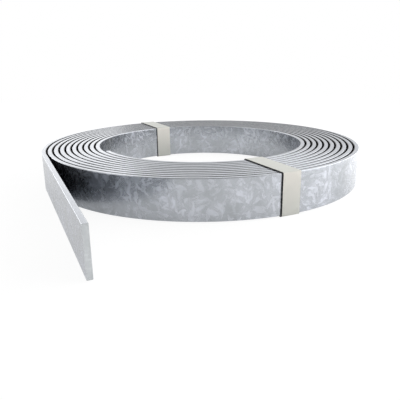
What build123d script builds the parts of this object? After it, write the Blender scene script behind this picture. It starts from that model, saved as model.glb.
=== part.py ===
"""Coil of galvanised flat steel strip, lying flat and tied by two straps.

Millimetres, +Z up. The origin is on the coil's axis, at floor level. The strip stands on
its narrow edge. Seen from above it winds clockwise from its outer end to its inner end,
and the outer end leaves the coil at the left (-X) as a straight tail.
"""

import os
from math import sqrt

from build123d import *

# Flat strip. Slitting rolls over the edges of one face, which lies outwards in the coil
STRIP_WIDTH = 30.0
STRIP_THICKNESS = 3.5
ROLLED_EDGE = 0.5

# Winding. The inner end stops the last half turn short, at this angle from the right
COIL_RADIUS = 140.5
TURN_GAP = 1.5
TURNS = 10
LAST_HALF_TURN = 149.4

# Free outer end. It leaves the coil at this angle from the left, towards the front
TAIL_ROOT_ANGLE = 26.6
TAIL_LENGTH = 178.0

# Straps. Each goes round all the turns at an angle from +X, and its ends are lapped
STRAP_WIDTH = 15.0
STRAP_THICKNESS = 0.8
STRAP_CLEARANCE = 0.1
STRAP_FRONT_ANGLE = -61.3
STRAP_BACK_ANGLE = 119.6
LAP_LENGTH = 24.0

LEFT = 180.0
RIGHT = 0.0
HALF_TURN = 180.0

# Half circles about two centres, half a pitch apart along X, join into the spiral
PITCH = STRIP_THICKNESS + TURN_GAP
CENTRE_SHIFT = PITCH / 4
BACK_CENTRE = Vector(-CENTRE_SHIFT, 0)
FRONT_CENTRE = Vector(CENTRE_SHIFT, 0)

# The coil rests on the straps, so the strip stands clear of the floor by their thickness
STRIP_MIDDLE_HEIGHT = STRAP_THICKNESS + STRIP_WIDTH / 2


def back_radius(turn):
    """Outer face of a turn's half behind the axis, about BACK_CENTRE."""
    return COIL_RADIUS - CENTRE_SHIFT - turn * PITCH


def front_radius(turn):
    """Outer face of a turn's half in front of the axis, about FRONT_CENTRE."""
    return back_radius(turn) - PITCH / 2


def strip_line():
    """Middle line of the strip, from the tail's cut end to the inner end."""
    to_middle = STRIP_THICKNESS / 2
    root = CenterArc(FRONT_CENTRE, front_radius(-1) - to_middle, LEFT + TAIL_ROOT_ANGLE, -TAIL_ROOT_ANGLE)
    tail_end = root @ 0 - (root % 0) * TAIL_LENGTH
    pieces = [Line(tail_end, root @ 0), root]
    for turn in range(TURNS):
        front_sweep = LAST_HALF_TURN if turn == TURNS - 1 else HALF_TURN
        pieces.append(CenterArc(BACK_CENTRE, back_radius(turn) - to_middle, LEFT, -HALF_TURN))
        pieces.append(CenterArc(FRONT_CENTRE, front_radius(turn) - to_middle, RIGHT, -front_sweep))
    return Wire(pieces)


def steel_strip():
    """One length of strip: its section swept along the winding, with +X of the section outwards."""
    line = strip_line()
    section = Rectangle(STRIP_THICKNESS, STRIP_WIDTH)
    section = chamfer(section.vertices().group_by(Axis.X)[-1], ROLLED_EDGE)
    cut_end = Plane(origin=line @ 0, x_dir=Vector(0, 0, 1).cross(line % 0), z_dir=line % 0)
    return Pos(0, 0, STRIP_MIDDLE_HEIGHT) * sweep(cut_end * section, path=line)


def strap(angle, centre, face_radius, lap_side):
    """Closed band round all the turns, flat across its width.

    Outside the coil its bends follow the rolled edges of the strip, and in the bore they are
    square inside. Its ends lap on the outside leg for a lap_side of 1, in the bore for -1.
    """
    outer_leg = face_radius(0)
    bore_wall = face_radius(TURNS - 1) - STRIP_THICKNESS
    bore_leg = sqrt(bore_wall**2 - (STRAP_WIDTH / 2) ** 2) - STRAP_CLEARANCE
    span = outer_leg - bore_leg
    inside = Rectangle(span, STRIP_WIDTH)
    inside = fillet(inside.vertices().group_by(Axis.X)[-1], ROLLED_EDGE)
    outside = RectangleRounded(
        span + 2 * STRAP_THICKNESS, STRIP_WIDTH + 2 * STRAP_THICKNESS, ROLLED_EDGE + STRAP_THICKNESS
    )
    lap_centre = span / 2 + 1.5 * STRAP_THICKNESS
    lap = Pos(lap_side * lap_centre, 0) * Rectangle(STRAP_THICKNESS, LAP_LENGTH)
    band = extrude(Plane.XZ * (outside - inside + lap), amount=STRAP_WIDTH / 2, both=True)
    middle = Pos((outer_leg + bore_leg) / 2, 0, STRIP_MIDDLE_HEIGHT)
    return Location(centre) * Rot(0, 0, angle) * middle * band


def main():
    nodes = {
        "steel_strip": steel_strip(),
        "strap_front": strap(STRAP_FRONT_ANGLE, FRONT_CENTRE, front_radius, lap_side=-1),
        "strap_back": strap(STRAP_BACK_ANGLE, BACK_CENTRE, back_radius, lap_side=1),
    }
    os.makedirs("parts", exist_ok=True)
    for name, solid in nodes.items():
        export_step(solid, f"parts/{name}.step")


main()
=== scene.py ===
"""Looks of a coil of galvanised flat steel strip with two packing straps.

Geometry Nodes sweep the strip along its winding, and each strap round the turns. Both use
one node group for the sweep, which also unrolls the piece: its finish then knows how far
along the piece, across it and through it a point lies. Metres, +Z up.
"""

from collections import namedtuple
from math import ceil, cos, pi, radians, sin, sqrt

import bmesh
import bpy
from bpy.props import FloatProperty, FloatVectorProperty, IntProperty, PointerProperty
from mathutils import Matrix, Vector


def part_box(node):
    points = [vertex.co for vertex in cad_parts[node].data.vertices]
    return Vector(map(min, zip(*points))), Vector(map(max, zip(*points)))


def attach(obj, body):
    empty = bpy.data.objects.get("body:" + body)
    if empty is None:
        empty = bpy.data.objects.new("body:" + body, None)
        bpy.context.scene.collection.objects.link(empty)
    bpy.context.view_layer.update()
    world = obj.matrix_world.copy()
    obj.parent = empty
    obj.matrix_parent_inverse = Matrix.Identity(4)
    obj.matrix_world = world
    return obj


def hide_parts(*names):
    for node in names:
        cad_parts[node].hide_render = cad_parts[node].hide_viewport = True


bl_info = {
    "name": "Flat Strip Coil",
    "version": (1, 0, 0),
    "blender": (4, 5, 0),
    "location": "3D View > Sidebar > Strip Coil",
    "description": "A coil of galvanised flat strip, its packing straps and a plain studio",
    "category": "Add Mesh",
}

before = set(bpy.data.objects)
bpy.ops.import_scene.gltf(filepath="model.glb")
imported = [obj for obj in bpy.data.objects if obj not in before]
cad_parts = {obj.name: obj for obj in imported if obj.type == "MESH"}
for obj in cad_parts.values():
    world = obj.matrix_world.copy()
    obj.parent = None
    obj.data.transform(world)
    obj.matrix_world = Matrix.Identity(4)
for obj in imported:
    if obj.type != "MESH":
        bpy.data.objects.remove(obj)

MM = 0.001

# Side of the photograph, in pixels
PHOTO_SIDE = 400

STRIP_LOW, STRIP_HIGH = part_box("steel_strip")

# Inputs of the bar's section and of its finish, which the groups of the sweep pass on
SECTION_INPUTS = {
    "Width": "NodeSocketFloat",
    "Thickness": "NodeSocketFloat",
    "Edge Radius": "NodeSocketFloat",
    "Edge Steps": "NodeSocketInt",
    "Edge Support": "NodeSocketFloat",
}
BAR_INPUTS = {**SECTION_INPUTS, "Side Finish": "NodeSocketMaterial", "End Finish": "NodeSocketMaterial"}

# Spangle, in crystal sizes: the noise that ripples the crystals' outlines, the blur between
# two crystals, and how finely the feathers lie along, across and through a crystal
RIPPLE_SCALE = 1.3
RIPPLE_REACH = 0.55
CRYSTAL_BLUR = 0.45
FEATHER_COMB = (0.9, 2.2, 1.0)

# Shares of the crystals, feathers, clouds and grain in the tone, and of all but the clouds
# in the height. Where there is no cloud, the feathers keep the last share of their strength
TONE_SHARES = (0.22, 0.50, 0.20, 0.08)
HEIGHT_SHARES = (0.5, 0.3, 0.2)
CLOUDLESS_FEATHERS = 0.35

# Zinc coat. The roughness and the relief are even at the plain tone and the plain height
ZINC_ROUGHNESS = 0.32
PLAIN_TONE = 0.65
ROUGHNESS_PER_TONE = 0.16
PLAIN_HEIGHT = 0.45
EDGE_PLAINNESS = 0.7

# Depths in edge radii at which a zone starts and is full: the plain zinc towards the narrow
# edges, and the painted shade between the turns, from an outer face, a narrow edge and an inner face
PLAIN_FROM_EDGE = (1.5, 0.7)
SHADE_FROM_OUTER = (0.5, 0.2)
SHADE_FROM_EDGE = (0.5, 1.2)
SHADE_FROM_INNER = (1.5, 1.0)

# Sheared ends. The blade's marks are this many waves per metre, across and through
SHEARED_DARK = 0.85
SHEARED_ROUGHNESS = 0.45
SHEARED_SHINE_PER_TONE = 0.1
BLADE_MARKS = (0.0, 4000.0, 300.0)

# Strapping. Depths from an edge at which the painted shade starts and is full, on any edge, and on the
# left one as a wider painted shadow. Drawing lines and dust are waves per metre. Faces that look up get
# painted shade
STRAP_EDGE_SHADE_DEPTHS = (0.12 * MM, 0.04 * MM)
STRAP_LEFT_SHADOW_DEPTHS = (0.55 * MM, 0.35 * MM)
DRAWING_LINES = (60.0, 1800.0, 0.0)
DUST_SPECKS = (90.0, 90.0, 90.0)
DUST_SHARE = 0.6
DUST_TINT = 0.3
UP_FACING_SHADE = (0.5, 0.95)
STRAP_ROUGHNESS = 0.4
STRAP_ROUGHNESS_PER_TONE = 0.12
STRAP_SPECULAR = 0.25

# Area lamps that are aimed at the object, each so many degrees round it from +X
Softbox = namedtuple("Softbox", "name turn distance middle width height watts")
SOFTBOXES = (
    Softbox("softbox_right", turn=3, distance=0.45, middle=0.21, width=0.75, height=0.42, watts=2.35),
    Softbox("softbox_back", turn=86, distance=1.0, middle=0.50, width=0.8, height=0.5, watts=1.4),
    Softbox("softbox_back_left", turn=121, distance=1.0, middle=0.30, width=0.5, height=0.5, watts=0.95),
    Softbox("softbox_left_back", turn=150, distance=1.0, middle=0.27, width=0.5, height=0.5, watts=2.0),
    Softbox("softbox_left_front", turn=210, distance=1.0, middle=0.27, width=0.5, height=0.5, watts=1.6),
)

# Parts of the world's light, between two heights or two places along Y on the unit sphere:
# the white horizon fades into the sky, the ceiling brightens, and the room towards -Y is dim
HORIZON_TO_SKY = (0.03, 0.28)
SKY_TO_CEILING = (0.5, 0.85)
DIM_ROOM_TO_REST = (-0.7, -0.2)


class StripSizes(bpy.types.PropertyGroup):
    """Sizes of the flat strip and of its winding."""

    width: FloatProperty(
        name="Strip width", description="Height of the strip as it stands on its edge",
        default=STRIP_HIGH.z - STRIP_LOW.z, unit="LENGTH",
    )
    floor_gap: FloatProperty(
        name="Floor gap", description="Height of the strip's lower edge above the floor",
        default=STRIP_LOW.z, unit="LENGTH",
    )
    thickness: FloatProperty(
        name="Strip thickness", description="Thickness of the strip", default=3.5 * MM, unit="LENGTH",
    )
    edge_radius: FloatProperty(
        name="Edge radius", description="Rounding of the strip's long edges under the zinc",
        default=0.4 * MM, unit="LENGTH",
    )
    edge_steps: IntProperty(
        name="Edge steps", description="Faces across each rounded edge", default=4, min=1,
    )
    edge_support: FloatProperty(
        name="Edge support", description="Width of the flat band of faces beside each rounded edge",
        default=0.4 * MM, unit="LENGTH",
    )
    end_bevel: FloatProperty(
        name="End bevel", description="Bevel round the two sheared ends", default=0.1 * MM, unit="LENGTH",
    )
    coil_radius: FloatProperty(
        name="Coil radius", description="From the axis to the outer face at the left",
        default=140.5 * MM, unit="LENGTH",
    )
    turn_gap: FloatProperty(
        name="Turn gap", description="Space between two turns", default=1.5 * MM, unit="LENGTH",
    )
    winding: FloatProperty(
        name="Winding", description="Angle wound from the left to the inner end",
        default=radians(3569.4), subtype="ANGLE",
    )
    winding_step: FloatProperty(
        name="Winding step", description="Angle of one step of the mesh round the coil",
        default=radians(1.8), subtype="ANGLE",
    )
    tail_root: FloatProperty(
        name="Tail root", description="Angle from the left to where the tail leaves the coil",
        default=radians(26.6), subtype="ANGLE",
    )
    tail_length: FloatProperty(
        name="Tail length", description="Length of the straight free end",
        default=178.0 * MM, unit="LENGTH",
    )
    tail_steps: IntProperty(
        name="Tail steps", description="Steps of the mesh along the straight free end", default=24, min=1,
    )


class StrapSizes(bpy.types.PropertyGroup):
    """Sizes of the packing straps."""

    width: FloatProperty(
        name="Strap width", description="Width of the strapping", default=15.0 * MM, unit="LENGTH",
    )
    thickness: FloatProperty(
        name="Strap thickness", description="Thickness of the strapping", default=0.8 * MM, unit="LENGTH",
    )
    clearance: FloatProperty(
        name="Bore clearance", description="Space left at the strap's two edges in the bore",
        default=0.1 * MM, unit="LENGTH",
    )
    bend_radius: FloatProperty(
        name="Bend radius", description="Bend of the strap's middle over the strip's edges",
        default=1.0 * MM, unit="LENGTH",
    )
    bend_steps: IntProperty(
        name="Bend steps", description="Steps of the mesh round each bend of the strap", default=6, min=1,
    )
    edge_radius: FloatProperty(
        name="Strap edge radius", description="Rounding of the strap's edges",
        default=0.08 * MM, unit="LENGTH",
    )
    edge_steps: IntProperty(
        name="Strap edge steps", description="Faces across each rounded edge of the strap",
        default=3, min=1,
    )
    edge_support: FloatProperty(
        name="Strap edge support", description="Width of the flat faces beside each rounded edge",
        default=0.05 * MM, unit="LENGTH",
    )
    lap_length: FloatProperty(
        name="Lap length", description="Length over which the strap's ends lie on each other",
        default=24.0 * MM, unit="LENGTH",
    )
    climb_length: FloatProperty(
        name="Climb length", description="Length over which the strap climbs onto its own beginning",
        default=2.0 * MM, unit="LENGTH",
    )
    front_angle: FloatProperty(
        name="Front strap", description="Place of the front strap round the axis, from +X",
        default=radians(-61.3), subtype="ANGLE",
    )
    back_angle: FloatProperty(
        name="Back strap", description="Place of the back strap round the axis, from +X",
        default=radians(119.6), subtype="ANGLE",
    )


class FinishColours(bpy.types.PropertyGroup):
    """Colours of the finishes, as linear values."""

    zinc_dark: FloatVectorProperty(
        name="Zinc, dark", description="Darkest patches of the galvanised face",
        subtype="COLOR", size=3, default=(0.318, 0.334, 0.350),
    )
    zinc_light: FloatVectorProperty(
        name="Zinc, light", description="Lightest flecks of the galvanised face",
        subtype="COLOR", size=3, default=(0.60, 0.62, 0.675),
    )
    # Painted shade: a near-black colour for the faces between the turns, standing in for the shade in the
    # gaps
    zinc_between_shade: FloatVectorProperty(
        name="Zinc between turns", description="Dull zinc on the faces that lie against the next turn",
        subtype="COLOR", size=3, default=(0.008, 0.0085, 0.009),
    )
    sheared_steel: FloatVectorProperty(
        name="Sheared end", description="Zinc drawn thinly over the sheared ends",
        subtype="COLOR", size=3, default=(0.60, 0.625, 0.64),
    )
    # Painted light and shade: the strap's colour runs from this cream at its upper end to the grey below
    # towards the floor
    strap_face: FloatVectorProperty(
        name="Strap face", description="Cream plastic of the strapping, at its clean upper end",
        subtype="COLOR", size=3, default=(0.90, 0.865, 0.80),
    )
    # Painted shade and dust: the grey the strap is painted towards the floor and on faces that look up,
    # which the dust specks also use
    strap_dust_and_shade: FloatVectorProperty(
        name="Strap, dusty", description="The same plastic near the floor, greyed by dust",
        subtype="COLOR", size=3, default=(0.685, 0.69, 0.645),
    )
    # Painted shade: a near-black colour on the strap's slit edges, wider on the left edge as a painted
    # shadow
    strap_edge_shade: FloatVectorProperty(
        name="Strap edge", description="Grime on the strapping's slit edges",
        subtype="COLOR", size=3, default=(0.018, 0.019, 0.02),
    )


class StudioSettings(bpy.types.PropertyGroup):
    """Floor, light and camera."""

    floor_side: FloatProperty(
        name="Floor side", description="Side of the square floor", default=6.0, unit="LENGTH",
    )
    shadow_reach: FloatProperty(
        name="Shadow reach", description="Distance from the axis at which the seen floor is plain white",
        default=0.9, unit="LENGTH",
    )
    floor_tone: FloatProperty(
        name="Floor tone", description="Lightness of the pale floor", default=0.85, min=0.0, max=1.0,
    )
    floor_shade: FloatProperty(
        name="Floor shade", description="Share of the seen floor that a shadow can take away",
        default=0.10, min=0.0, max=1.0,
    )
    mirrored_shade: FloatProperty(
        name="Mirrored floor shade", description="The same share for the floor as the metal mirrors it",
        default=0.60, min=0.0, max=1.0,
    )
    floor_light: FloatProperty(
        name="Floor light", description="Brightness of a white matte floor under these lamps",
        default=0.64, min=0.1, max=1.0,
    )
    sky_light: FloatProperty(
        name="Sky light", description="Brightness of the sky above the white horizon",
        default=0.32, min=0.0, max=1.0,
    )
    ceiling_light: FloatProperty(
        name="Ceiling light", description="Brightness overhead, as a multiple of the sky's",
        default=1.7, min=0.0, max=4.0,
    )
    room_light: FloatProperty(
        name="Room light", description="Brightness behind the camera, as a share of what it would be",
        default=0.4, min=0.0, max=1.0,
    )
    camera_place: FloatVectorProperty(
        name="Camera place", description="Where the camera stands", subtype="TRANSLATION", size=3,
        default=(23.29 * MM, -429.34 * MM, 107.65 * MM),
    )
    camera_heading: FloatProperty(
        name="Camera heading", description="Turn of the camera to the left of +Y",
        default=0.0591, subtype="ANGLE",
    )
    camera_pitch: FloatProperty(
        name="Camera pitch", description="Angle by which the camera looks down",
        default=0.3023, subtype="ANGLE",
    )
    camera_roll: FloatProperty(
        name="Camera roll", description="Turn of the camera about its view",
        default=-0.0139, subtype="ANGLE",
    )
    focal_pixels: FloatProperty(
        name="Focal length in pixels", description="Focal length measured in the photograph's pixels",
        default=469.76,
    )


class Field:
    """A value in a node tree. Sums written with it become Math nodes."""

    def __init__(self, tree, socket):
        self.tree = tree
        self.socket = socket

    def math(self, operation, *others):
        """The value that a Math node makes of this one and others."""
        node = add(self.tree, "ShaderNodeMath", {}, operation=operation)
        for slot, value in zip(node.inputs, (self, *others)):
            feed(self.tree, slot, value)
        return Field(self.tree, node.outputs[0])

    def __add__(self, other):
        return self.math("ADD", other)

    def __sub__(self, other):
        return self.math("SUBTRACT", other)

    def __rsub__(self, other):
        return (self * -1.0) + other

    def __mul__(self, other):
        return self.math("MULTIPLY", other)

    def __truediv__(self, other):
        return self.math("DIVIDE", other)


def feed(tree, slot, value):
    """Gives an input a constant, a socket or a Field."""
    if isinstance(value, Field):
        value = value.socket
    if isinstance(value, bpy.types.NodeSocket):
        tree.links.new(value, slot)
    else:
        slot.default_value = value


def add(tree, kind, values, **settings):
    """A new node with its settings made and its inputs fed, by name or place."""
    node = tree.nodes.new(kind)
    for name, value in settings.items():
        setattr(node, name, value)
    for name, value in values.items():
        feed(tree, node.inputs[name], value)
    return node


def new_group(name, kind, inputs, outputs):
    """A node group with named sockets, and its input and output nodes."""
    tree = bpy.data.node_groups.new(name, kind)
    for in_out, sockets in (("INPUT", inputs), ("OUTPUT", outputs)):
        for label, socket_type in sockets.items():
            tree.interface.new_socket(label, in_out=in_out, socket_type=socket_type)
    source = tree.nodes.new("NodeGroupInput")
    sink = tree.nodes.new("NodeGroupOutput")
    return tree, source, sink


def fields(tree, source):
    """The inputs of a group as Fields, by name."""
    return {s.name: Field(tree, s) for s in source.outputs if s.name}


def vector(tree, x=0.0, y=0.0, z=0.0):
    """A vector of three values."""
    return add(tree, "ShaderNodeCombineXYZ", {"X": x, "Y": y, "Z": z}).outputs[0]


def xyz(tree, place):
    """The three values of a vector, as Fields."""
    return [Field(tree, part) for part in add(tree, "ShaderNodeSeparateXYZ", {"Vector": place}).outputs]


def vector_math(tree, operation, *values):
    """The vector that a Vector Math node makes."""
    return add(tree, "ShaderNodeVectorMath", dict(enumerate(values)), operation=operation).outputs[0]


def ramp(tree, value, start, end, low=0.0, high=1.0):
    """Low on one side of start, high beyond end, and straight in between. Start may lie above end."""
    limits = {"From Min": start, "From Max": end, "To Min": low, "To Max": high}
    return Field(tree, add(tree, "ShaderNodeMapRange", {"Value": value, **limits}).outputs[0])


def zone(tree, depth, limits, radius):
    """0 where a depth is the first of two limits, given in edge radii, and 1 from the second on."""
    start, full = limits
    return ramp(tree, depth, start * radius, full * radius)


def weighed(values, shares):
    """The sum of some Fields, each times its share."""
    first, *rest = (value * share for value, share in zip(values, shares))
    for part in rest:
        first = first + part
    return first


def rounded_section():
    """Closed outline of a flat bar with rounded edges: width along X, thickness along Y.

    Each corner is an arc with one support point before it and one after it, which keep
    the shading of the flat faces flat.
    """
    name = "Rounded Bar Section"
    if name in bpy.data.node_groups:
        return bpy.data.node_groups[name]
    tree, source, sink = new_group(
        name, "GeometryNodeTree", SECTION_INPUTS, {"Section": "NodeSocketGeometry"},
    )
    size = fields(tree, source)
    steps = size["Edge Steps"]
    per_corner = steps + 3.0
    index = Field(tree, add(tree, "GeometryNodeInputIndex", {}).outputs[0])
    corner = (index / per_corner).math("FLOOR")
    place = index - corner * per_corner
    turned = ((place - 1.0) / steps).math("MAXIMUM", 0.0).math("MINIMUM", 1.0)
    before = (1.0 - place).math("MAXIMUM", 0.0)
    after = (place - steps - 1.0).math("MAXIMUM", 0.0)
    support = (after - before) * size["Edge Support"]
    angle = (corner + turned) * (pi / 2)
    diagonal = (corner + 0.5) * (pi / 2)
    side_x = diagonal.math("COSINE").math("SIGN")
    side_y = diagonal.math("SINE").math("SIGN")
    x = side_x * (size["Width"] * 0.5 - size["Edge Radius"])
    x = x + angle.math("COSINE") * size["Edge Radius"] - angle.math("SINE") * support
    y = side_y * (size["Thickness"] * 0.5 - size["Edge Radius"])
    y = y + angle.math("SINE") * size["Edge Radius"] + angle.math("COSINE") * support
    line = add(tree, "GeometryNodeMeshLine", {"Count": per_corner * 4.0, "Offset": (0.0, 0.0, 1.0)})
    placed = add(
        tree, "GeometryNodeSetPosition",
        {"Geometry": line.outputs[0], "Position": vector(tree, x, y)},
    )
    curve = add(tree, "GeometryNodeMeshToCurve", {"Mesh": placed.outputs[0]})
    closed = add(tree, "GeometryNodeSetSplineCyclic", {"Geometry": curve.outputs[0], "Cyclic": True})
    feed(tree, sink.inputs[0], closed.outputs[0])
    return tree


def swept_bar():
    """Sweeps a rounded section along a route and unrolls it.

    The attribute "unrolled" holds how far along the route a point lies, how far across
    the bar's width, and how far through its thickness.
    """
    name = "Swept Flat Bar"
    if name in bpy.data.node_groups:
        return bpy.data.node_groups[name]
    tree, source, sink = new_group(
        name, "GeometryNodeTree",
        {"Route": "NodeSocketGeometry", "Width Direction": "NodeSocketVector", **BAR_INPUTS},
        {"Bar": "NodeSocketGeometry"},
    )
    size = fields(tree, source)

    def stored(geometry, name, value, data_type):
        """The geometry with a named attribute."""
        values = {"Geometry": geometry, "Name": name, "Value": value}
        return add(tree, "GeometryNodeStoreNamedAttribute", values, data_type=data_type).outputs[0]

    def recalled(name, data_type):
        """The value of a named attribute."""
        node = add(tree, "GeometryNodeInputNamedAttribute", {"Name": name}, data_type=data_type)
        return node.outputs["Attribute"]

    outline = add(
        tree, "GeometryNodeGroup", {label: size[label] for label in SECTION_INPUTS},
        node_tree=rounded_section(),
    )
    position = add(tree, "GeometryNodeInputPosition", {}).outputs[0]
    profile = stored(outline.outputs[0], "section", position, "FLOAT_VECTOR")
    faced = add(
        tree, "GeometryNodeSetCurveNormal",
        {"Curve": size["Route"], "Normal": size["Width Direction"]}, mode="FREE",
    )
    travelled = add(tree, "GeometryNodeSplineParameter", {}).outputs["Length"]
    route = stored(faced.outputs[0], "along", travelled, "FLOAT")
    bar = add(
        tree, "GeometryNodeCurveToMesh", {"Curve": route, "Profile Curve": profile, "Fill Caps": True},
    )
    across, through, _ = xyz(tree, recalled("section", "FLOAT_VECTOR"))
    unrolled = vector(tree, recalled("along", "FLOAT"), across, through)
    geometry = stored(bar.outputs[0], "unrolled", unrolled, "FLOAT_VECTOR")
    for spare in ("along", "section"):
        values = {"Geometry": geometry, "Name": spare}
        geometry = add(tree, "GeometryNodeRemoveAttribute", values).outputs[0]
    sides = add(tree, "GeometryNodeSetMaterial", {"Geometry": geometry, "Material": size["Side Finish"]})
    smooth = add(tree, "GeometryNodeInputShadeSmooth", {}).outputs[0]
    ends = add(tree, "FunctionNodeBooleanMath", {0: smooth}, operation="NOT").outputs[0]
    finished = add(
        tree, "GeometryNodeSetMaterial",
        {"Geometry": sides.outputs[0], "Selection": ends, "Material": size["End Finish"]},
    )
    feed(tree, sink.inputs[0], finished.outputs[0])
    return tree


def swept_along(tree, edges, direction, size):
    """The bar that the sweep makes along a line of mesh edges, with its instances realized."""
    route = add(tree, "GeometryNodeMeshToCurve", {"Mesh": edges})
    values = {"Route": route.outputs[0], "Width Direction": direction}
    values.update({label: size[label] for label in BAR_INPUTS})
    bar = add(tree, "GeometryNodeGroup", values, node_tree=swept_bar())
    return add(tree, "GeometryNodeRealizeInstances", {"Geometry": bar.outputs[0]}).outputs[0]


def coiled_strip():
    """The strip: a straight tail, then half circles about two centres that join into a spiral."""
    tree, source, sink = new_group(
        "Coiled Flat Strip", "GeometryNodeTree",
        {"Coil Radius": "NodeSocketFloat", "Turn Gap": "NodeSocketFloat", "Winding": "NodeSocketFloat",
         "Winding Steps": "NodeSocketInt", "Tail Root": "NodeSocketFloat", "Tail Length": "NodeSocketFloat",
         "Tail Steps": "NodeSocketInt", "Middle Height": "NodeSocketFloat", **BAR_INPUTS},
        {"Strip": "NodeSocketGeometry"},
    )
    size = fields(tree, source)
    root = size["Tail Root"]
    tail_steps = size["Tail Steps"]
    winding_steps = size["Winding Steps"]
    index = Field(tree, add(tree, "GeometryNodeInputIndex", {}).outputs[0])
    wound = (index - tail_steps).math("MAXIMUM", 0.0) / winding_steps
    turned = wound * (size["Winding"] + root) - root
    half_turn = (turned / pi).math("FLOOR")
    in_front = half_turn.math("FLOORED_MODULO", 2.0)
    pitch = size["Thickness"] + size["Turn Gap"]
    shift = pitch * 0.25
    centre_x = shift * (in_front * 2.0 - 1.0)
    radius = size["Coil Radius"] - size["Thickness"] * 0.5 - shift - half_turn * pitch * 0.5
    angle = pi - turned
    back_along_tail = (tail_steps - index).math("MAXIMUM", 0.0) / tail_steps * size["Tail Length"]
    x = centre_x + radius * angle.math("COSINE") - back_along_tail * angle.math("SINE")
    y = radius * angle.math("SINE") + back_along_tail * angle.math("COSINE")
    line = add(
        tree, "GeometryNodeMeshLine",
        {"Count": tail_steps + winding_steps + 1.0, "Offset": (0.0, 0.0, 1.0)},
    )
    placed = add(
        tree, "GeometryNodeSetPosition",
        {"Geometry": line.outputs[0], "Position": vector(tree, x, y, size["Middle Height"])},
    )
    feed(tree, sink.inputs[0], swept_along(tree, placed.outputs[0], (0.0, 0.0, 1.0), size))
    return tree


def strap_band():
    """A strap: the flat bar along the route that the object's own edges give."""
    tree, source, sink = new_group(
        "Packing Strap Band", "GeometryNodeTree",
        {"Route Edges": "NodeSocketGeometry", "Width Direction": "NodeSocketVector", **BAR_INPUTS},
        {"Strap": "NodeSocketGeometry"},
    )
    size = fields(tree, source)
    feed(tree, sink.inputs[0], swept_along(tree, size["Route Edges"], size["Width Direction"], size))
    return tree


def made_by(tree, name, mesh, values):
    """An object whose plain mesh a Geometry Nodes tree makes from a starting mesh and named values."""
    maker = bpy.data.objects.new(name, mesh)
    bpy.context.collection.objects.link(maker)
    modifier = maker.modifiers.new("make", "NODES")
    modifier.node_group = tree
    for item in tree.interface.items_tree:
        if item.in_out == "INPUT" and item.name in values:
            modifier[item.identifier] = values[item.name]
    depsgraph = bpy.context.evaluated_depsgraph_get()
    made = bpy.data.meshes.new_from_object(maker.evaluated_get(depsgraph))
    maker.modifiers.remove(modifier)
    maker.data = made
    made.name = name
    bpy.data.meshes.remove(mesh)
    return maker


def bevel_ends(mesh, width):
    """Bevels the rim of the two end faces, which are the only faces with more than four corners."""
    shape = bmesh.new()
    shape.from_mesh(mesh)
    rims = [edge for face in shape.faces if len(face.verts) > 4 for edge in face.edges]
    bmesh.ops.bevel(
        shape, geom=rims, offset=width, segments=2, profile=0.5, affect="EDGES",
        offset_type="OFFSET", material=-1,
    )
    shape.to_mesh(mesh)
    shape.free()


def principled_material(name, metallic=0.0):
    """A new material, its node tree and its Principled BSDF."""
    material = bpy.data.materials.new(name)
    material.use_nodes = True
    shader = material.node_tree.nodes["Principled BSDF"]
    shader.inputs["Metallic"].default_value = metallic
    return material, material.node_tree, shader


def unrolled_place(tree):
    """How far along, across and through its piece a point lies."""
    return add(tree, "ShaderNodeAttribute", {}, attribute_name="unrolled").outputs["Vector"]


def waves(tree, per_metre, detail):
    """A noise over the unrolled piece, with so many waves per metre along, across and through."""
    place = vector_math(tree, "MULTIPLY", unrolled_place(tree), per_metre)
    noise = add(tree, "ShaderNodeTexNoise", {"Vector": place, "Scale": 1.0, "Detail": detail})
    return Field(tree, noise.outputs[0])


def emboss(tree, shader, height, strength, depth):
    """Bumps a shader's surface by a height."""
    bump = add(tree, "ShaderNodeBump", {"Strength": strength, "Distance": depth, "Height": height})
    feed(tree, shader.inputs["Normal"], bump.outputs[0])


def blend(tree, factor, first, second):
    """A colour between two others, each a plain colour or a socket."""
    mix = add(tree, "ShaderNodeMix", {"Factor": factor}, data_type="RGBA")
    colour_slots = [slot for slot in mix.inputs if slot.type == "RGBA"]
    for slot, colour in zip(colour_slots, (first, second)):
        feed(tree, slot, colour if isinstance(colour, bpy.types.NodeSocket) else (*colour, 1.0))
    return next(slot for slot in mix.outputs if slot.type == "RGBA")


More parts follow.
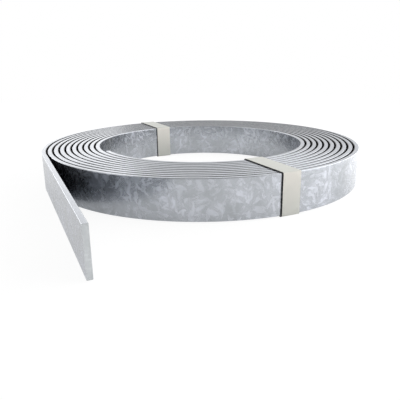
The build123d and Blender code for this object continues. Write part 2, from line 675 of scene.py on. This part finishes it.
def zinc_spangle():
    """Spangle of a hot-dip zinc coat: soft crystals, each with feathers that point their own way."""
    name = "Zinc Spangle"
    if name in bpy.data.node_groups:
        return bpy.data.node_groups[name]
    tree, source, sink = new_group(
        name, "ShaderNodeTree",
        {"Vector": "NodeSocketVector", "Crystal Size": "NodeSocketFloat", "Grain Size": "NodeSocketFloat",
         "Cloud Size": "NodeSocketFloat"},
        {"Tone": "NodeSocketFloat", "Height": "NodeSocketFloat"},
    )
    size = fields(tree, source)

    def in_units_of(label):
        """The place in units of one of the sizes."""
        values = {0: size["Vector"], "Scale": size[label].math("POWER", -1.0)}
        return add(tree, "ShaderNodeVectorMath", values, operation="SCALE").outputs[0]

    def noise(place, low, high, **values):
        """A noise from 0 to 1, reached where the plain noise is low and high."""
        plain = add(tree, "ShaderNodeTexNoise", {"Vector": place, **values})
        return ramp(tree, plain.outputs[0], low, high)

    def channel(texture, label):
        """One channel of a texture's colour, which is a random value for each crystal."""
        colour = add(tree, "ShaderNodeSeparateColor", {"Color": texture.outputs["Color"]})
        return Field(tree, colour.outputs[label])

    crystal_place = in_units_of("Crystal Size")
    ripple = add(
        tree, "ShaderNodeTexNoise", {"Vector": crystal_place, "Scale": RIPPLE_SCALE, "Detail": 2.0},
    )
    push = vector_math(tree, "SUBTRACT", ripple.outputs["Color"], (0.5, 0.5, 0.5))
    place = vector_math(tree, "MULTIPLY_ADD", push, (RIPPLE_REACH,) * 3, crystal_place)
    crystal = add(tree, "ShaderNodeTexVoronoi", {"Vector": place, "Scale": 1.0}, feature="F1")
    soft = add(
        tree, "ShaderNodeTexVoronoi", {"Vector": place, "Scale": 1.0, "Smoothness": CRYSTAL_BLUR},
        feature="SMOOTH_F1",
    )
    in_crystal = vector_math(tree, "SUBTRACT", place, crystal.outputs["Position"])
    turn = channel(crystal, "Green") * (2 * pi)
    turned = add(
        tree, "ShaderNodeVectorRotate", {"Vector": in_crystal, "Angle": turn}, rotation_type="Z_AXIS",
    )
    combed = vector_math(tree, "MULTIPLY", turned.outputs[0], FEATHER_COMB)
    feathers = noise(combed, low=0.49, high=0.60, Scale=1.1, Detail=2.5, Roughness=0.6)
    clouds = noise(in_units_of("Cloud Size"), low=0.36, high=0.64, Scale=1.0, Detail=2.0)
    grain = noise(in_units_of("Grain Size"), low=0.3, high=0.7, Scale=1.0, Detail=2.0)
    crystals = channel(soft, "Red")
    clouded = feathers * (clouds * (1.0 - CLOUDLESS_FEATHERS) + CLOUDLESS_FEATHERS)
    feed(tree, sink.inputs["Tone"], weighed((crystals, clouded, clouds, grain), TONE_SHARES))
    feed(tree, sink.inputs["Height"], weighed((crystals, feathers, grain), HEIGHT_SHARES))
    return tree


def spangled(tree, dark, light, sizes):
    """Colour, tone and height of a spangled zinc coat."""
    values = {"Vector": unrolled_place(tree), **sizes}
    spangle = add(tree, "ShaderNodeGroup", values, node_tree=zinc_spangle())
    tone, height = (Field(tree, spangle.outputs[label]) for label in ("Tone", "Height"))
    return blend(tree, tone, dark, light), tone, height


def shade_between_turns(tree, strip):
    """1 on the faces that lie against the next turn, from their rounded edges inwards: the mask of the
    painted shade between the turns.

    The first turn's outer face and the last turn's inner face are the coil's own walls.
    """
    along, across, through = xyz(tree, unrolled_place(tree))
    pitch = strip.thickness + strip.turn_gap
    middle_radius = strip.coil_radius - strip.thickness / 2
    turns = strip.winding / (2 * pi)
    first_turn = 2 * pi * middle_radius
    last_turn = 2 * pi * (middle_radius - (turns - 1) * pitch)
    wound = strip.winding * (middle_radius - turns * pitch / 2) + strip.tail_root * middle_radius

    half = strip.thickness / 2
    from_edge = strip.width / 2 - across.math("ABSOLUTE")
    outer = along.math("GREATER_THAN", strip.tail_length + first_turn)
    outer = outer * zone(tree, through + half, SHADE_FROM_OUTER, strip.edge_radius)
    outer = outer * zone(tree, from_edge, SHADE_FROM_EDGE, strip.edge_radius)
    inner = along.math("GREATER_THAN", strip.tail_length)
    inner = inner * along.math("LESS_THAN", strip.tail_length + wound - last_turn)
    inner = inner * zone(tree, half - through, SHADE_FROM_INNER, strip.edge_radius)
    return outer + inner


def zinc_finish(colours, strip):
    """Galvanised face: pale blue-grey zinc with soft crystals. The narrow edges are plainer. The faces
    between the turns are painted near black, as painted shade in the gaps.
    """
    material, tree, shader = principled_material("galvanised_zinc", metallic=1.0)
    faces, tone, height = spangled(
        tree, colours.zinc_dark, colours.zinc_light,
        {"Crystal Size": 8.5 * MM, "Grain Size": 0.8 * MM, "Cloud Size": 26.0 * MM},
    )
    _, across, _ = xyz(tree, unrolled_place(tree))
    from_edge = strip.width / 2 - across.math("ABSOLUTE")
    on_edge = zone(tree, from_edge, PLAIN_FROM_EDGE, strip.edge_radius)
    on_face = 1.0 - on_edge
    plain = tuple((dark + light) / 2 for dark, light in zip(colours.zinc_dark, colours.zinc_light))
    coat = blend(tree, on_edge * EDGE_PLAINNESS, faces, plain)
    # Painted shade: the faces between the turns get a near-black colour in place of the shade in the gaps
    colour = blend(tree, shade_between_turns(tree, strip), coat, colours.zinc_between_shade)
    feed(tree, shader.inputs["Base Color"], colour)
    uneven = (tone - PLAIN_TONE) * ROUGHNESS_PER_TONE * on_face
    feed(tree, shader.inputs["Roughness"], uneven + ZINC_ROUGHNESS)
    emboss(tree, shader, (height - PLAIN_HEIGHT) * on_face, strength=0.1, depth=0.3 * MM)
    return material


def sheared_finish(colours):
    """Sheared end: smoother zinc over the fine marks that the blade draws through the thickness."""
    material, tree, shader = principled_material("sheared_end", metallic=1.0)
    darker = tuple(SHEARED_DARK * c for c in colours.sheared_steel)
    colour, tone, _ = spangled(
        tree, darker, colours.sheared_steel,
        {"Crystal Size": 4.0 * MM, "Grain Size": 0.4 * MM, "Cloud Size": 10.0 * MM},
    )
    feed(tree, shader.inputs["Base Color"], colour)
    feed(tree, shader.inputs["Roughness"], SHEARED_ROUGHNESS - tone * SHEARED_SHINE_PER_TONE)
    emboss(tree, shader, waves(tree, BLADE_MARKS, detail=2.0), strength=0.25, depth=0.05 * MM)
    return material


def strap_finish(colours, strap):
    """Cream plastic strapping: faint drawing lines, dust, and painted shade on its slit edges.

    The painted shade is wider on the left edge, as a painted shadow, and the plastic is painted greyer on
    top and towards the floor, as painted shade.
    """
    material, tree, shader = principled_material("strapping_plastic")
    _, across, _ = xyz(tree, unrolled_place(tree))
    half = strap.width / 2
    # Painted shade on both slit edges, and a wider painted shadow along the left edge
    slit_edge_shade = ramp(tree, half - across.math("ABSOLUTE"), *STRAP_EDGE_SHADE_DEPTHS)
    slit_edge_shade = slit_edge_shade.math("MAXIMUM", ramp(tree, half - across, *STRAP_LEFT_SHADOW_DEPTHS))
    lines = waves(tree, DRAWING_LINES, detail=2.0)
    dust = waves(tree, DUST_SPECKS, detail=5.0)
    tone = weighed((lines, dust), (1.0 - DUST_SHARE, DUST_SHARE))
    _, _, height = xyz(tree, add(tree, "ShaderNodeTexCoord", {}).outputs["Object"])
    _, _, facing_up = xyz(tree, add(tree, "ShaderNodeNewGeometry", {}).outputs["Normal"])
    # Painted shade: the plastic is greyer towards the floor and on faces that look up; the specks below are
    # dust
    brighter = ramp(tree, height, STRIP_LOW.z, STRIP_HIGH.z)
    face = blend(tree, brighter, colours.strap_dust_and_shade, colours.strap_face)
    face = blend(tree, ramp(tree, facing_up, *UP_FACING_SHADE), face, colours.strap_dust_and_shade)
    face = blend(tree, tone * DUST_TINT, face, colours.strap_dust_and_shade)
    feed(tree, shader.inputs["Base Color"], blend(tree, slit_edge_shade, face, colours.strap_edge_shade))
    feed(tree, shader.inputs["Roughness"], tone * STRAP_ROUGHNESS_PER_TONE + STRAP_ROUGHNESS)
    shader.inputs["Specular IOR Level"].default_value = STRAP_SPECULAR
    emboss(tree, shader, tone, strength=0.15, depth=0.05 * MM)
    return material


def strap_route(half_span, half_height, strap):
    """Middle line of a strap round a rectangle, as (outwards, up) from the rectangle's middle.

    It starts half a lap below the middle of the outer leg, goes once round, and then climbs
    by its own thickness over its beginning.
    """
    bend = strap.bend_radius
    below = -strap.lap_length / 2
    points = [(half_span, below)]
    for corner, (side_r, side_z) in enumerate(((1, 1), (-1, 1), (-1, -1), (1, -1))):
        for step in range(strap.bend_steps + 1):
            angle = (corner + step / strap.bend_steps) * pi / 2
            r = side_r * (half_span - bend) + bend * cos(angle)
            z = side_z * (half_height - bend) + bend * sin(angle)
            points.append((r, z))
    for step in range(strap.bend_steps + 1):
        part = step / strap.bend_steps
        climbed = part * part * (3 - 2 * part)
        points.append((half_span + strap.thickness * climbed, below - strap.climb_length * (1 - part)))
    points.append((half_span + strap.thickness, strap.lap_length / 2))
    return points


def lay_strap(context, side, angle, lap_outside, finish):
    """One strap, in the upright plane through the centre of its half of the turns."""
    strip = context.scene.stripcoil_strip
    strap = context.scene.stripcoil_strap
    pitch = strip.thickness + strip.turn_gap
    in_front = angle < 0
    centre_x = pitch / 4 if in_front else -pitch / 4
    outer_face = strip.coil_radius - pitch / 4 - (pitch / 2 if in_front else 0.0)
    turns_inside = strip.winding // (2 * pi)
    bore_face = outer_face - turns_inside * pitch - strip.thickness
    bore_leg = sqrt(bore_face**2 - (strap.width / 2) ** 2) - strap.clearance
    half_span = (outer_face - bore_leg + strap.thickness) / 2
    half_height = (strip.width + strap.thickness) / 2
    lap_side = 1 if lap_outside else -1
    outwards = Vector((cos(angle), sin(angle), 0.0))
    leftwards = (sin(angle), -cos(angle), 0.0) if in_front else (-sin(angle), cos(angle), 0.0)
    middle = Vector((centre_x, 0.0, strip.floor_gap + strip.width / 2))
    middle += outwards * (outer_face + bore_leg) / 2
    places = [
        middle + lap_side * (outwards * r + Vector((0.0, 0.0, z)))
        for r, z in strap_route(half_span, half_height, strap)
    ]
    route = bpy.data.meshes.new("start")
    route.from_pydata(places, [(i, i + 1) for i in range(len(places) - 1)], [])
    band = made_by(
        strap_band(), f"packing_strap_{side}", route,
        {
            "Width Direction": leftwards, "Width": strap.width, "Thickness": strap.thickness,
            "Edge Radius": strap.edge_radius, "Edge Steps": strap.edge_steps,
            "Edge Support": strap.edge_support, "Side Finish": finish, "End Finish": finish,
        },
    )
    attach(band, "root")
    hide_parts(f"strap_{side}")


class STRIPCOIL_OT_steel_strip(bpy.types.Operator):
    """Sweep the galvanised strip along its winding"""

    bl_idname = "stripcoil.steel_strip"
    bl_label = "Steel Strip"

    def execute(self, context):
        sizes = context.scene.stripcoil_strip
        colours = context.scene.stripcoil_colours
        turned = sizes.winding + sizes.tail_root
        strip = made_by(
            coiled_strip(), "galvanised_strip", bpy.data.meshes.new("start"),
            {
                "Coil Radius": sizes.coil_radius, "Turn Gap": sizes.turn_gap, "Winding": sizes.winding,
                "Winding Steps": ceil(turned / sizes.winding_step), "Tail Root": sizes.tail_root,
                "Tail Length": sizes.tail_length, "Tail Steps": sizes.tail_steps,
                "Middle Height": sizes.floor_gap + sizes.width / 2, "Width": sizes.width,
                "Thickness": sizes.thickness, "Edge Radius": sizes.edge_radius,
                "Edge Steps": sizes.edge_steps, "Edge Support": sizes.edge_support,
                "Side Finish": zinc_finish(colours, sizes), "End Finish": sheared_finish(colours),
            },
        )
        bevel_ends(strip.data, sizes.end_bevel)
        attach(strip, "root")
        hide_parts("steel_strip")
        return {"FINISHED"}


class STRIPCOIL_OT_straps(bpy.types.Operator):
    """Lay the two packing straps round the turns"""

    bl_idname = "stripcoil.straps"
    bl_label = "Packing Straps"

    def execute(self, context):
        strap = context.scene.stripcoil_strap
        finish = strap_finish(context.scene.stripcoil_colours, strap)
        lay_strap(context, "front", strap.front_angle, False, finish)
        lay_strap(context, "back", strap.back_angle, True, finish)
        return {"FINISHED"}


def floor_material(studio):
    """Matte floor, which the camera and the metal see as partly plain white and partly shaded.

    The shaded share falls to none at the shadow's reach.
    """
    material = bpy.data.materials.new("studio_floor")
    material.use_nodes = True
    tree = material.node_tree
    tree.nodes.clear()
    rays = add(tree, "ShaderNodeLightPath", {}).outputs
    camera = Field(tree, rays["Is Camera Ray"])
    mirrored = Field(tree, rays["Is Glossy Ray"]).math("MAXIMUM", rays["Is Transmission Ray"])
    place = add(tree, "ShaderNodeTexCoord", {}).outputs["Object"]
    away = add(tree, "ShaderNodeVectorMath", {0: place}, operation="LENGTH").outputs["Value"]
    near = ramp(tree, away, studio.shadow_reach / 3, studio.shadow_reach, 1.0, 0.0)
    seen = camera.math("MAXIMUM", mirrored)
    shaded_share = (camera * studio.floor_shade + mirrored * studio.mirrored_shade) * near
    white_share = seen - shaded_share
    seen_tone = shaded_share / studio.floor_light
    tone = seen * seen_tone + (1.0 - seen) * studio.floor_tone
    colour = add(tree, "ShaderNodeCombineColor", {"Red": tone, "Green": tone, "Blue": tone})
    matte = add(tree, "ShaderNodeBsdfDiffuse", {"Color": colour.outputs[0]})
    white = add(tree, "ShaderNodeEmission", {"Strength": white_share})
    both = add(tree, "ShaderNodeAddShader", {0: matte.outputs[0], 1: white.outputs[0]})
    add(tree, "ShaderNodeOutputMaterial", {"Surface": both.outputs[0]})
    return material


def lay_floor(context, studio):
    """A square floor about the origin."""
    half = studio.floor_side / 2
    corners = [(-half, -half, 0), (half, -half, 0), (half, half, 0), (-half, half, 0)]
    mesh = bpy.data.meshes.new("studio_floor")
    mesh.from_pydata(corners, [], [(0, 1, 2, 3)])
    mesh.materials.append(floor_material(studio))
    floor = bpy.data.objects.new("studio_floor", mesh)
    context.collection.objects.link(floor)


def light_world(context, studio):
    """White for the camera. For all else a white horizon, a sky, a ceiling and a dim room."""
    world = bpy.data.worlds.new("studio_light")
    world.use_nodes = True
    tree = world.node_tree
    _, back, up = xyz(tree, add(tree, "ShaderNodeTexCoord", {}).outputs["Generated"])
    sky = ramp(tree, up, *HORIZON_TO_SKY, 1.0, studio.sky_light)
    room = ramp(tree, back, *DIM_ROOM_TO_REST, studio.room_light, 1.0)
    ceiling = ramp(tree, up, *SKY_TO_CEILING, 1.0, studio.ceiling_light)
    seen = add(tree, "ShaderNodeLightPath", {}).outputs["Is Camera Ray"]
    background = tree.nodes["Background"]
    feed(tree, background.inputs["Strength"], (sky * room * ceiling).math("MAXIMUM", seen))
    background.inputs["Color"].default_value = (1.0, 1.0, 1.0, 1.0)
    context.scene.world = world


def hang_softboxes(context):
    """The lamps, each aimed at the origin."""
    for softbox in SOFTBOXES:
        lamp = bpy.data.lights.new(softbox.name, "AREA")
        lamp.shape = "RECTANGLE"
        lamp.size = softbox.width
        lamp.size_y = softbox.height
        lamp.energy = softbox.watts
        box = bpy.data.objects.new(softbox.name, lamp)
        turn = radians(softbox.turn)
        ground = sqrt(softbox.distance**2 - softbox.middle**2)
        box.location = (ground * cos(turn), ground * sin(turn), softbox.middle)
        box.rotation_euler = (-box.location).to_track_quat("-Z", "Y").to_euler()
        context.collection.objects.link(box)


def place_camera(context, studio):
    """The camera that took the photograph."""
    lens = bpy.data.cameras.new("photo_camera")
    lens.lens = lens.sensor_width * studio.focal_pixels / PHOTO_SIDE
    lens.clip_start = 0.01
    camera = bpy.data.objects.new("photo_camera", lens)
    turn = Matrix.Rotation(studio.camera_heading, 4, "Z")
    tilt = Matrix.Rotation(pi / 2 - studio.camera_pitch, 4, "X")
    roll = Matrix.Rotation(studio.camera_roll, 4, "Z")
    camera.matrix_world = Matrix.Translation(studio.camera_place) @ turn @ tilt @ roll
    context.collection.objects.link(camera)
    context.scene.camera = camera


class STRIPCOIL_OT_studio(bpy.types.Operator):
    """Set up the pale floor, the soft light and the camera"""

    bl_idname = "stripcoil.studio"
    bl_label = "Studio"

    def execute(self, context):
        studio = context.scene.stripcoil_studio
        lay_floor(context, studio)
        light_world(context, studio)
        hang_softboxes(context)
        place_camera(context, studio)
        context.scene.view_settings.view_transform = "Standard"
        return {"FINISHED"}


class STRIPCOIL_PT_sidebar(bpy.types.Panel):
    """The steps that build the coil, in order"""

    bl_idname = "STRIPCOIL_PT_sidebar"
    bl_label = "Flat Strip Coil"
    bl_space_type = "VIEW_3D"
    bl_region_type = "UI"
    bl_category = "Strip Coil"

    def draw(self, context):
        for operator in OPERATORS:
            self.layout.operator(operator.bl_idname)


OPERATORS = (STRIPCOIL_OT_steel_strip, STRIPCOIL_OT_straps, STRIPCOIL_OT_studio)
SETTINGS = {
    "stripcoil_strip": StripSizes,
    "stripcoil_strap": StrapSizes,
    "stripcoil_colours": FinishColours,
    "stripcoil_studio": StudioSettings,
}
CLASSES = (*SETTINGS.values(), *OPERATORS, STRIPCOIL_PT_sidebar)


def register():
    for kind in CLASSES:
        bpy.utils.register_class(kind)
    for name, kind in SETTINGS.items():
        setattr(bpy.types.Scene, name, PointerProperty(type=kind))


def unregister():
    for name in SETTINGS:
        delattr(bpy.types.Scene, name)
    for kind in reversed(CLASSES):
        bpy.utils.unregister_class(kind)


def main():
    """Builds the coil in its studio."""
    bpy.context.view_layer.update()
    register()
    bpy.ops.stripcoil.steel_strip()
    bpy.ops.stripcoil.straps()
    bpy.ops.stripcoil.studio()


if __name__ == "__main__":
    main()
